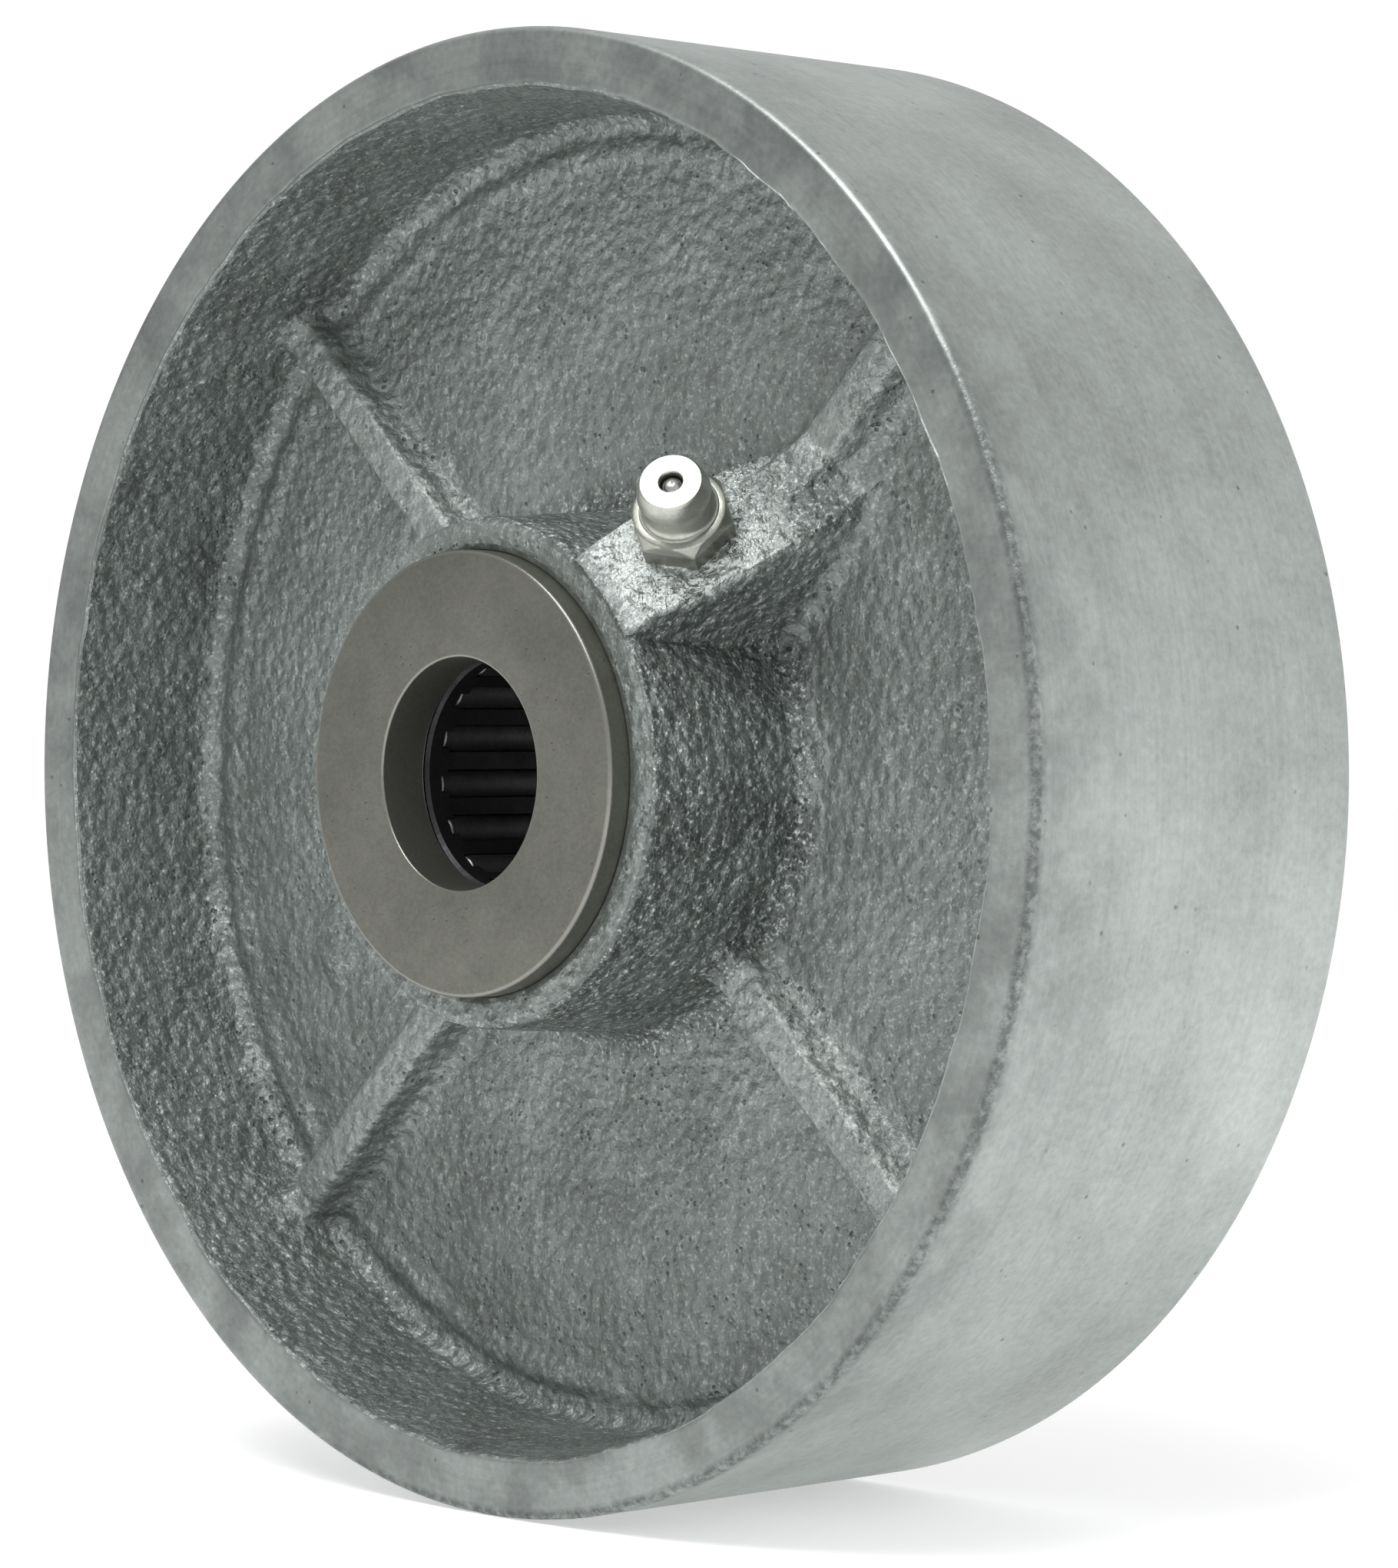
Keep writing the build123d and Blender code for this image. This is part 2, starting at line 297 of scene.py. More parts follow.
class Finish(Graph):
    """A material under construction, with one Principled shader."""

    def __init__(self, name, **constants):
        self.material = bpy.data.materials.new(name)
        self.material.use_nodes = True
        super().__init__(self.material.node_tree)
        output = self.tree.nodes.new("ShaderNodeOutputMaterial")
        self.shader = self.tree.nodes.new("ShaderNodeBsdfPrincipled")
        self.tree.links.new(self.shader.outputs[0], output.inputs["Surface"])
        for socket, value in constants.items():
            self.shader.inputs[socket.replace("_", " ")].default_value = value

    def place(self):
        """The point on the piece, in metres in the piece's own frame."""
        return self.node("ShaderNodeTexCoord", {}, {}, "Object")

    def mask(self, name):
        """A number stored on the mesh's points."""
        return self.node("ShaderNodeAttribute", {"attribute_name": name}, {}, "Fac")

    def grain(self, size, detail=2.0, roughness=0.5, place=None, distortion=0.0):
        """Noise whose features are about as wide as size, in metres."""
        vector = place or self.place()
        values = {"Vector": vector, "Scale": 1 / size, "Detail": detail, "Roughness": roughness,
                  "Distortion": distortion}
        return self.node("ShaderNodeTexNoise", {"noise_dimensions": "3D"}, values, 0)

    def pits(self, size, randomness=1.0):
        """Distance to scattered points, about a size apart in metres."""
        values = {"Vector": self.place(), "Scale": 1 / size, "Randomness": randomness}
        return self.node("ShaderNodeTexVoronoi", {"feature": "F1"}, values, "Distance")

    def domes(self, size):
        """Smooth distance to scattered points: low in the middle of rounded bumps about a size apart."""
        values = {"Vector": self.place(), "Scale": 1 / size, "Smoothness": 0.5, "Randomness": 1.0}
        return self.node("ShaderNodeTexVoronoi", {"feature": "SMOOTH_F1"}, values, "Distance")

    def blend(self, factor, low, high):
        """A number between two numbers."""
        return low + (high - low) * factor

    def bump(self, height, depth, below=None):
        """A normal from a height between 0 and 1 that stands for a depth in metres."""
        values = {"Height": height, "Distance": depth, "Strength": 1.0}
        if below is not None:
            values["Normal"] = below
        return self.node("ShaderNodeBump", {}, values)

    def connect(self, socket, wire):
        self.tree.links.new(wire.socket, self.shader.inputs[socket])


def scaled(share, value):
    """A colour made darker or lighter."""
    return [share * part for part in value]


def opaque(value):
    """A colour with its alpha, or a wire as it is."""
    return value if isinstance(value, Wire) else (*value, 1.0)


def ring_grain(finish, size):
    """Noise that runs in circles about the wheel's axle, as a lathe tool leaves it."""
    place = finish.place()
    x, y, z = [
        finish.node("ShaderNodeSeparateXYZ", {}, {0: place}, axis) for axis in ("X", "Y", "Z")
    ]
    radius = (x * x + z * z) ** 0.5
    turned = finish.node("ShaderNodeCombineXYZ", {}, {0: radius, 1: y, 2: 0.0})
    return finish.grain(size, 3.0, 0.6, turned)


def cast_iron():
    """Sand cast skin, with turned rim faces and tread where the mesh says so."""
    colours = settings("colours")
    finish = Finish("cast_iron_finish", Metallic=0.85)
    turned = finish.mask("turned")
    painted_highlight = finish.mask("painted_highlight")
    coarse_and_shaded = finish.mask("coarse_and_shaded")
    face = finish.mask("rim_face")

    lower_front_corner = finish.mask("lower_front_corner")
    domes = 1 - finish.domes(0.0012)
    peel = finish.grain(0.0012, 2.0, 0.5)
    sand = finish.grain(0.00055, 3.0, 0.65)
    grit = finish.grain(0.00032, 2.0, 0.6)
    patches = finish.grain(0.008, 3.0, 0.6)
    pit_choice = finish.grain(0.0030, 2.0, 0.6)
    pit = (1 - finish.pits(0.0008).between(0.12, 0.30)) * pit_choice.between(0.54, 0.62)
    cracks = (finish.grain(0.0032, 4.0, 0.7, distortion=1.2) - 0.5).math("ABSOLUTE")
    crack = (1 - cracks.between(0.004, 0.014)) * painted_highlight * finish.grain(0.006, 1.0).between(0.50, 0.58)

    tone = (patches * 0.45 + sand * 0.30 + grit * 0.25).between(0.36, 0.64)
    # On the rough skin the tone spreads wider and its dark end is far darker: painted shade on the walls,
    # the hub's wall and the boss's sides.
    light_end = finish.mix(coarse_and_shaded * 0.35, colours.iron, scaled(1.2, colours.iron))
    dark_end = finish.mix(coarse_and_shaded * 0.8, scaled(0.74, colours.iron), scaled(0.17, colours.iron))
    skin = finish.mix(tone, dark_end, light_end)
    # Painted highlights: light specks as glints, strongest on the rough walls; then the ramp and the rib
    # tops painted lighter.
    glint = (sand * 0.5 + grit * 0.5).between(0.55, 0.61) * finish.blend(coarse_and_shaded, 0.10, 0.85)
    skin = finish.mix(painted_highlight * 0.88, skin, colours.iron_highlight)
    skin = finish.mix(glint, skin, colours.iron_highlight)
    flecks = (1 - grit.between(0.34, 0.46)) * painted_highlight
    skin = finish.mix(flecks * 0.55, skin, colours.iron_dark)
    skin = finish.mix(pit * 0.45, skin, colours.iron_dark)
    skin = finish.mix(crack * 0.85, skin, colours.iron_dark)

    lathe = ring_grain(finish, 0.00035)
    cloud = finish.grain(0.022, 5.0, 0.68)
    dust = finish.grain(0.0007, 2.0, 0.7)
    speck = (1 - finish.pits(0.0021).between(0.06, 0.12)) * finish.grain(0.004, 1.0).between(0.55, 0.6)
    steel_tone = (lathe * 0.25 + cloud * 1.0 + dust * 0.45).between(0.58, 1.1)
    steel = finish.mix(steel_tone, scaled(0.60, colours.turned), scaled(1.04, colours.turned))
    smudge = finish.grain(0.009, 4.0, 0.7).between(0.42, 0.62)
    steel = finish.mix(face * finish.blend(smudge, 0.24, 0.52), steel, colours.iron_dark)
    # Painted shade on the tread beside the front edge, towards the lower right.
    painted_tread_shade = finish.mask("painted_tread_shade") * finish.blend(smudge, 0.14, 0.42)
    steel = finish.mix(painted_tread_shade, steel, colours.iron_dark)
    steel = finish.mix(speck * 0.55, steel, colours.iron_dark)
    # Lower right of the front corner: patches of wear plus an even band of painted shade.
    wear_and_painted_light = finish.grain(0.0009, 3.0, 0.7).between(0.36, 0.60) * lower_front_corner
    steel = finish.mix(wear_and_painted_light * 0.50 + lower_front_corner * 0.22, steel, colours.iron_dark)
    finish.connect("Base Color", finish.mix(turned, skin, steel))

    rough_skin = finish.blend(tone, 0.60, 0.50) + pit * 0.15 - painted_highlight * 0.08
    rough_steel = finish.blend(lathe, 0.36, 0.44) + cloud * 0.08 + wear_and_painted_light * 0.12
    finish.connect("Roughness", finish.blend(turned, rough_skin, rough_steel))

    relief = finish.blend(coarse_and_shaded, 0.60, 2.1)
    cast_height = domes * 0.5 + peel * 0.35 + sand * 0.28 - pit * 0.35 - crack * 0.5
    coarse_bump = finish.bump(cast_height * relief * (1 - turned), 0.0006)
    fine_height = lathe * turned * 0.4 + dust * turned * 0.5 - speck * turned * 0.6 - wear_and_painted_light * 0.8
    finish.connect("Normal", finish.bump(fine_height, 0.00005, coarse_bump))
    return finish.material


def washer_steel():
    """Smooth pressed steel with a faint brown cast and tiny specks."""
    colours = settings("colours")
    finish = Finish("washer_finish", Metallic=0.85)
    cloud = finish.grain(0.009, 5.0, 0.65)
    fine = finish.grain(0.00035, 3.0, 0.7)
    speck = (1 - finish.pits(0.0010).between(0.06, 0.16)) * finish.grain(0.003, 1.0).between(0.5, 0.58)
    tone = (cloud * 0.8 + fine * 0.6).between(0.45, 0.95)
    base = finish.mix(tone, scaled(0.72, colours.washer), scaled(1.22, colours.washer))
    # Painted highlight: the washer's bevels are painted lighter all round.
    wear_and_painted_light = finish.mask("edge")
    base = finish.mix(wear_and_painted_light * 0.40, base, colours.washer_edge)
    base = finish.mix(speck * 0.5, base, colours.washer_speck)
    finish.connect("Base Color", base)
    finish.connect("Roughness", finish.blend(tone, 0.50, 0.42) - wear_and_painted_light * 0.12)
    finish.connect("Normal", finish.bump(fine * 0.6 - speck * 0.7, 0.00004))
    return finish.material


def zinc_plate():
    """Bright zinc plating with fine tool rings and small stains."""
    colours = settings("colours")
    finish = Finish("zinc_finish", Metallic=0.92)
    cloud = finish.grain(0.0022, 3.0, 0.6)
    fine = finish.grain(0.00022, 2.0, 0.6)
    tone = (cloud * 0.75 + fine * 0.3).between(0.32, 0.75)
    plate = finish.mix(tone, scaled(0.62, colours.zinc), colours.zinc)
    # Darker on the hexagon's lower part, less on its ledge under the collar, not above.
    finish.connect("Base Color", finish.mix(finish.mask("darkening") * 0.62, plate, colours.hex_dark))
    finish.connect("Roughness", finish.blend(tone, 0.42, 0.27))
    finish.connect("Normal", finish.bump(fine * 0.5 + cloud * 0.3, 0.00003))
    return finish.material


def oily_steel(name, base, rough, darkening):
    """Steel with an oily, dirty film that thickens in darker patches."""
    finish = Finish(name, Metallic=0.95)
    film = finish.grain(0.0035, 3.0, 0.6)
    fine = finish.grain(0.0004, 2.0, 0.6)
    tone = (film * 0.8 + fine * 0.4).between(0.38, 0.85)
    finish.connect("Base Color", finish.mix(tone, scaled(darkening, base), base))
    finish.connect("Roughness", finish.blend(tone, rough + 0.14, rough))
    finish.connect("Normal", finish.bump(fine * 0.6 + film * 0.2, 0.00003))
    return finish.material


def polished_ball():
    """A polished ball, faintly clouded with grease."""
    colours = settings("colours")
    finish = Finish("ball_finish", Metallic=1.0)
    cloud = finish.grain(0.0009, 2.0, 0.5)
    finish.connect("Base Color", finish.mix(cloud, scaled(0.7, colours.ball), colours.ball))
    finish.connect("Roughness", finish.blend(cloud, 0.12, 0.28))
    finish.connect("Normal", finish.bump(cloud, 0.00001))
    return finish.material


def pale_floor():
    """Matt pale floor with a barely visible mottle."""
    colours = settings("colours")
    finish = Finish("floor_finish", Roughness=0.9, Emission_Color=(1, 1, 1, 1), Emission_Strength=0.4)
    mottle = finish.grain(0.05, 2.0, 0.5)
    finish.connect("Base Color", finish.mix(mottle, scaled(0.985, colours.floor), colours.floor))
    return finish.material


# Mesh building


def soft_max(first, second, width):
    """The larger of two heights, rounded where they cross within a width."""
    width = np.maximum(width, 1e-6)
    near = np.maximum(width - np.abs(first - second), 0) / width
    return np.maximum(first, second) + near * near * width / 4


def soft_min(first, second, width):
    """The smaller of two heights, rounded where they cross within a width."""
    return -soft_max(-first, -second, width)


def flank(inside, radius, lean):
    """Height of a leaning wall above its floor, a distance inside the foot of its root round."""
    reach = radius * math.cos(lean)
    bend = np.clip(inside, 0, reach)
    rise = radius - np.sqrt(radius * radius - bend * bend)
    return rise + np.maximum(inside - reach, 0) / math.tan(lean)


def foot_of(half_width, radius, lean):
    """Distance from the middle to the foot of the root round of a leaning wall."""
    return half_width + radius * math.tan((math.pi / 2 - lean) / 2)


def ease(value):
    """Smooth step of a value between 0 and 1."""
    value = np.clip(value, 0, 1)
    return value * value * (3 - 2 * value)


def arc(count):
    """Angles from 0 to a right angle, ends included."""
    return np.linspace(0, math.pi / 2, count)


def mesh_piece(name, points, faces, material, masks=None, crease=None):
    """A smooth mesh object from points in millimetres, with masks stored on its points."""
    mesh = bpy.data.meshes.new(name)
    mesh.from_pydata((np.asarray(points) * MM).tolist(), [], faces)
    mesh.update()
    for mask, values in (masks or {}).items():
        layer = mesh.attributes.new(mask, "FLOAT", "POINT")
        layer.data.foreach_set("value", np.asarray(values, np.float32).ravel())
    mesh.shade_smooth()
    if crease is not None:
        mesh.set_sharp_from_angle(angle=math.radians(crease))
    piece = bpy.data.objects.new(name, mesh)
    bpy.context.scene.collection.objects.link(piece)
    piece.data.materials.append(material)
    return piece


def loop_faces(rows, columns):
    """Quads of a grid that closes on itself both ways, row by row."""
    row, column = np.meshgrid(np.arange(rows), np.arange(columns), indexing="ij")
    next_row, next_column = (row + 1) % rows, (column + 1) % columns
    corners = [row * columns + column, row * columns + next_column,
               next_row * columns + next_column, next_row * columns + column]
    return np.stack(corners, axis=-1).reshape(-1, 4).tolist()


def bumpiness(points, size, seed, octaves=2):
    """Smooth noise between about -1 and 1 at each point, with features as wide as size."""
    shift = Vector((seed * 17.3, seed * 5.1, seed * 9.7))
    places = [Vector(point) / size + shift for point in points]
    return np.array([noise.fractal(place, 1.0, 2.0, octaves) for place in places])


class Casting:
    """The casting's skin: a closed grid of stations along the section by columns round the wheel."""

    fan_reach = 8.4
    fan_columns = 64
    noise_level = 9.0
    rib_steps = (0.5, 1.0, 1.35, 1.6, 1.78, 1.95, 2.12, 2.3, 2.5, 2.75, 3.05, 3.4, 3.8, 4.25, 4.75,
                 5.3, 5.9, 6.5, 7.1, 7.75)
    boss_steps = (4.05, 4.5, 4.65, 4.9, 5.05, 5.2, 5.5, 5.7)

    def __init__(self):
        self.size = settings("casting")
        self.web = self.size.web / 2
        self.rim_half = self.size.tread / 2
        self.rim_inner = wheel_radius_mm - self.size.rim
        self.hub_radius = washer_radius_mm + self.size.hub_lip
        self.slope = math.tan(self.size.draft)
        self.rib_angles = [self.size.first_rib + index * math.tau / self.size.rib_count
                           for index in range(self.size.rib_count)]
        self.make_columns()

    def make_columns(self):
        """Columns run beside each rib at a fixed distance, and fan out between the ribs."""
        reach = self.fan_reach
        columns = []
        for index, angle in enumerate(self.rib_angles):
            steps = self.rib_steps + (self.boss_steps if index == 0 else ())
            half = sorted(steps)
            after = angle + math.tau / self.size.rib_count
            for across in [-step for step in reversed(half)] + [0.0] + half:
                columns.append((angle, across, angle, across, 0.0))
            for share in np.linspace(0, 1, self.fan_columns):
                columns.append((angle, reach, after, -reach, share))
        self.columns = np.array(columns).T

    def angle_at(self, radius):
        """Angle of each column where it crosses a radius."""
        start, start_across, end, end_across, share = self.columns
        first = start + np.arcsin(np.clip(start_across / radius, -1, 1))
        last = end + np.arcsin(np.clip(end_across / radius, -1, 1))
        return (1 - share) * first + share * last

    def floor(self, radius, side):
        """Height of the web, the ribs and the boss where the columns cross a radius."""
        size = self.size
        angle = self.angle_at(radius)
        height = np.full(np.broadcast(radius, angle).shape, self.web)
        rib_foot = foot_of(size.rib_top / 2 + size.rib_height * math.tan(size.rib_lean), size.rib_root,
                           size.rib_lean)
        for rib_angle in self.rib_angles:
            along = radius * np.cos(angle - rib_angle)
            across = radius * np.sin(angle - rib_angle)
            rise = flank(rib_foot - np.abs(across), size.rib_root, size.rib_lean)
            rise = soft_min(rise, size.rib_height, size.rib_edge * ease(rise))
            height = np.where(along > 0, np.maximum(height, self.web + rise), height)
        if side == FRONT:
            height = self.with_boss(height, radius, angle)
        return height

    def with_boss(self, height, radius, angle):
        """The sloping boss of the grease fitting, laid over the first rib."""
        size = self.size
        along = radius * np.cos(angle - self.rib_angles[0])
        across = radius * np.sin(angle - self.rib_angles[0]) - size.boss_step
        tall = hub_face_mm - self.web
        ramp = hub_face_mm - np.maximum(along - self.hub_radius - size.ramp_start, 0)
        root = foot_of(size.boss_half + tall * math.tan(size.boss_lean), size.boss_root, size.boss_lean)
        narrowing = np.where(across > 0, 0.32, 0.06) * np.maximum(along - 29, 0)
        sides = self.web + flank(root - narrowing - np.abs(across), size.boss_root, size.boss_lean)
        sides = np.minimum(sides, hub_face_mm + 4)
        boss = soft_min(ramp, sides, size.boss_edge * ease((sides - self.web) / 3))
        inside = ease((sides - ramp) / 5)
        merged = soft_max(height, boss, size.ramp_blend * inside)
        return np.where(along > 0, np.minimum(merged, hub_face_mm), height)

    def section(self, side):
        """Stations from the bore out to the tread on one side: radius, height and marks for each column."""
        size = self.size
        count = self.columns.shape[1]
        ones = np.ones(count)
        stations = []

        def add(radius, height, turned=0.0, cast=1.0, wall=0.0):
            stations.append((radius * ones, height * ones, turned * ones, cast * ones, wall * ones))

        counterbore = washer_radius_mm + 0.02
        for share in (0.0, 0.5, 1.0):
            add(race_radius_mm, 1.0 + share * (washer_inner_mm - 1.0), turned=1.0, cast=0.0)
        add(counterbore, washer_inner_mm, turned=1.0, cast=0.0)
        add(counterbore, washer_inner_mm + 0.6 * (hub_face_mm - washer_inner_mm), turned=1.0, cast=0.0)
        add(counterbore, hub_face_mm - 0.12, turned=0.6, cast=0.0)
        add(counterbore + 0.12, hub_face_mm, turned=0.5, cast=0.0)

        edge = size.hub_round
        for share in (0.25, 0.5, 0.75, 1.0):
            add(counterbore + 0.12 + share * (self.hub_radius - edge - counterbore - 0.12), hub_face_mm,
                cast=0.35 + 0.4 * share)
        wall_floor = self.floor(self.hub_radius + 0.5, side)
        drop = hub_face_mm - wall_floor
        edge_depth = np.minimum(edge, 0.5 * drop)
        for turn in arc(6)[1:]:
            height = hub_face_mm - edge_depth * (1 - math.cos(turn))
            add(self.hub_radius - edge + edge * math.sin(turn), height)
        root = np.minimum(size.hub_root, 0.45 * drop)
        top = hub_face_mm - edge_depth
        for share in np.linspace(0, 1, 16)[1:]:
            height = top - share * (top - wall_floor - root)
            add(self.hub_radius + self.slope * (hub_face_mm - height), height, wall=1.0)
        start = self.hub_radius + self.slope * (drop - root)
        for turn in arc(8)[1:]:
            height = wall_floor + root * (1 - math.sin(turn))
            add(start + root * (1 - math.cos(turn)), height, wall=math.cos(turn))
        floor_start = start + root

        rim_floor = self.floor(self.rim_inner - 1.0, side)
        rim_drop = self.rim_half - rim_floor
        rim_root = np.minimum(size.rim_root, 0.45 * rim_drop)
        rim_wall = self.rim_inner - self.slope * (rim_drop - rim_root)
        floor_end = rim_wall - rim_root
        turns = self.angle_at(self.rim_inner)
        around = self.rim_inner * np.stack([np.cos(turns), 0 * turns, np.sin(turns)], 1)
        around[:, 1] = side * self.noise_level
        bead_swell = 0.72 + 0.75 * bumpiness(around, 2.6, 3) + 0.3 * bumpiness(around, 12.0, 4)
        edge_wave = size.rim_wave * (0.8 * bumpiness(around, 7.0, 5) + 0.6 * bumpiness(around, 1.8, 6))
        for share in 1 - (1 - np.linspace(0, 1, 36)[1:]) ** 1.4:
            radius = floor_start + share * (floor_end - floor_start)
            height = self.floor(radius, side)
            from_edge = (floor_end - radius - 1.2) / (size.bead_width / 2)
            ridge = np.exp(-from_edge * from_edge) * np.clip(bead_swell, 0.15, 1.5)
            height = height + size.bead * ridge * ease((self.web + 2 - height) / 1.5)
            add(radius, height)
        last_rise = height - self.floor(radius, side)
        for turn in arc(8)[1:]:
            lift = last_rise * (1 - math.sin(turn))
            height = rim_floor + lift + rim_root * (1 - math.cos(turn))
            add(floor_end + rim_root * math.sin(turn), height, wall=math.sin(turn))
        rim_round = size.rim_round
        wall_top = self.rim_half - rim_round
        low = rim_floor + rim_root
        for share in np.linspace(0, 1, 15)[1:]:
            height = low + share * (wall_top - low)
            radius = self.rim_inner - self.slope * (self.rim_half - height) + edge_wave * share**3
            add(radius, height, wall=1.0)
        base = self.rim_inner - self.slope * rim_round + edge_wave
        for turn in arc(4)[1:]:
            fade = math.cos(turn)
            height = wall_top + rim_round * math.sin(turn)
            add(base + rim_round * (1 - fade), height, cast=fade, turned=1.0 if fade < 0.2 else 0.0)
        corner = size.corner
        face_start = base + rim_round
        face_end = wheel_radius_mm - corner
        for share in (0.08, 0.35, 0.65, 0.9, 1.0):
            add(face_start + share * (face_end - face_start), self.rim_half, turned=1.0, cast=0.0)
        for turn in arc(6)[1:]:
            height = self.rim_half - corner * (1 - math.cos(turn))
            add(face_end + corner * math.sin(turn), height, turned=1.0, cast=0.0)
        for share in (0.04, 0.12, 0.35, 0.7):
            add(wheel_radius_mm, (1 - share) * (self.rim_half - corner), turned=1.0, cast=0.0)
        return [np.array(values) for values in zip(*stations)]

    def build(self):
        """Points and marks of the whole skin, front and back joined into one grid."""
        parts = []
        for side in (FRONT, BACK):
            radius, height, turned, cast, wall = self.section(side)
            angle = self.angle_at(radius)
            points = np.stack([radius * np.cos(angle), side * height, radius * np.sin(angle)], axis=-1)
            marks = np.stack([turned, cast, wall], axis=-1)
            if side == BACK:
                points, marks = points[::-1], marks[::-1]
            parts.append((points, marks))
        points = np.concatenate([part[0] for part in parts])
        marks = np.concatenate([part[1] for part in parts])
        return points, marks


def grid_normals(points):
    """Outward unit normals of a closed grid of points."""
    along = np.roll(points, -1, axis=0) - np.roll(points, 1, axis=0)
    around = np.roll(points, -1, axis=1) - np.roll(points, 1, axis=1)
    normals = np.cross(along, around)
    return normals / np.maximum(np.linalg.norm(normals, axis=-1, keepdims=True), 1e-9)


def roughen(points, marks):
    """Move the cast areas in and out along their normals, and leave the turned ones true."""
    size = settings("casting")
    cast = marks[..., 1]
    flat = points.reshape(-1, 3)
    long_wave = bumpiness(flat, 9.0, 1, 2).reshape(cast.shape)
    short_wave = bumpiness(flat, 2.3, 2, 2).reshape(cast.shape)
    height = size.roughness * (0.8 * long_wave + 0.55 * short_wave)
    return points - (height * cast)[..., None] * grid_normals(points)


def dent(points, centre, width, push):
    """Push the points near a centre by a vector that fades with distance."""
    away = np.linalg.norm(points - np.array(centre), axis=-1) / width
    return points + np.exp(-away * away)[..., None] * np.array(push)


def on_face(radius, degrees, height):
    """A point on the front side at a radius, an angle and a height from the middle plane."""
    turn = math.radians(degrees)
    return (radius * math.cos(turn), -height, radius * math.sin(turn))


WEB_PIMPLES = (
    (41.5, 199.4, 1.0, 0.7),
    (42.7, 204.2, 1.7, 0.8),
    (43.0, 158.0, 1.8, 0.35),
    (55.0, 225.0, 1.6, 0.7),
    (55.5, 134.0, 1.5, 0.4),
)


def add_foundry_marks(points):
    """Lumps beside the washer, pimples on the web and knocks on the front corner."""
    random = np.random.default_rng(7)
    web = settings("casting").web / 2
    for degrees in np.linspace(232, 308, 34):
        lump = random.uniform(-0.28, 0.34)
        radius = random.uniform(19.6, 21.6)
        place = on_face(radius, degrees + random.uniform(-2, 2), hub_face_mm)
        points = dent(points, place, random.uniform(0.35, 0.8), (0, -lump, 0))
    for radius, degrees, width, lump in WEB_PIMPLES:
        points = dent(points, on_face(radius, degrees, web), width, (0, -lump, 0))
    rim_half = settings("casting").tread / 2
    for degrees in np.linspace(-96, 34, 14):
        degrees = degrees + random.uniform(-4, 4)
        depth = random.uniform(0.03, 0.16)
        inward = on_face(-depth, degrees, -depth * 0.8)
        place = on_face(wheel_radius_mm, degrees, rim_half)
        points = dent(points, place, random.uniform(0.4, 0.9), inward)
    return points


def casting_masks(points, marks):
    """Marks for the finish, from 0 to 1: turned faces, painted highlight on ramp and rib tops, rough skin
    with painted shade, wear and painted shade on the front corner, painted shade on the tread.
    """
    size = settings("casting")
    x, y, z = np.moveaxis(points, -1, 0)
    radius = np.hypot(x, z)
    front = y < 0
    # Painted highlight on the ramp and the rib tops; the ramp's dark flecks and cracks keep to the same
    # area.
    painted_highlight = np.zeros(radius.shape)
    # Rough skin with painted shade and painted glints: the walls, the hub's wall and the boss's sides.
    coarse_and_shaded = 0.30 + 0.25 * marks[..., 2]
    hub_wall = ease((26.5 - radius) / 3) * ease((radius - 21.2) / 0.6)
    coarse_and_shaded = np.maximum(coarse_and_shaded, hub_wall)
    web = size.web / 2
    for index in range(size.rib_count):
        angle = size.first_rib + index * math.tau / size.rib_count
        across = -x * math.sin(angle) + z * math.cos(angle)
        along = x * math.cos(angle) + z * math.sin(angle)
        tall = ease((np.abs(y) - web - size.rib_height + 0.7) / 0.5)
        top = tall * ease((size.rib_top / 2 + 0.5 - np.abs(across)) / 0.5)
        between = ease((along - 23) / 2) * ease((56.5 - along) / 2)
        painted_highlight = np.maximum(painted_highlight, 0.22 * top * between)
        if index == 0:
            ramp_line = hub_face_mm - (along - washer_radius_mm - size.hub_lip - size.ramp_start)
            near = ease((0.9 - np.abs(np.abs(y) - ramp_line)) / 0.5)
            inside = ease((size.boss_half + 1.6 - np.abs(across - size.boss_step)) / 0.8)
            ramp_end = ease((36 - along) / 6)
            painted_highlight = np.maximum(painted_highlight, near * inside * front * ease((along - 21.5) / 0.8) * ramp_end)
            # The boss's sides get the rough skin's painted shade.
            beside = ease((11 - np.abs(across)) / 2) * ease((np.abs(y) - web - 0.8) / 2)
            between = ease((along - 21) / 2) * ease((40 - along) / 3)
            coarse_and_shaded = np.maximum(coarse_and_shaded, beside * front * between)
    face = marks[..., 0] * ease((np.abs(y) - size.tread / 2 + 0.25) / 0.2) * ease((radius - 40) / 2)
    turn = np.degrees(np.arctan2(z, x))
    # Lower right of the front corner, which gets patches of wear and painted shade.
    corner = ease((radius - wheel_radius_mm + 1.1) / 0.7) * ease((-y - size.tread / 2 + 1.1) / 0.7)
    lower_front_corner = corner * front * ease((turn + 125) / 25) * ease((38 - turn) / 16)
    # Painted shade on the tread beside the front edge, towards the lower right.
    beside_edge = 0.9 * ease((-y - 4) / 15) * ease((radius - wheel_radius_mm + 0.3) / 0.3)
    return {
        "turned": marks[..., 0],
        "painted_highlight": painted_highlight,
        "coarse_and_shaded": coarse_and_shaded,
        "rim_face": face,
        "lower_front_corner": lower_front_corner,
        "painted_tread_shade": beside_edge * ease((turn + 100) / 40) * ease((60 - turn) / 30),
    }


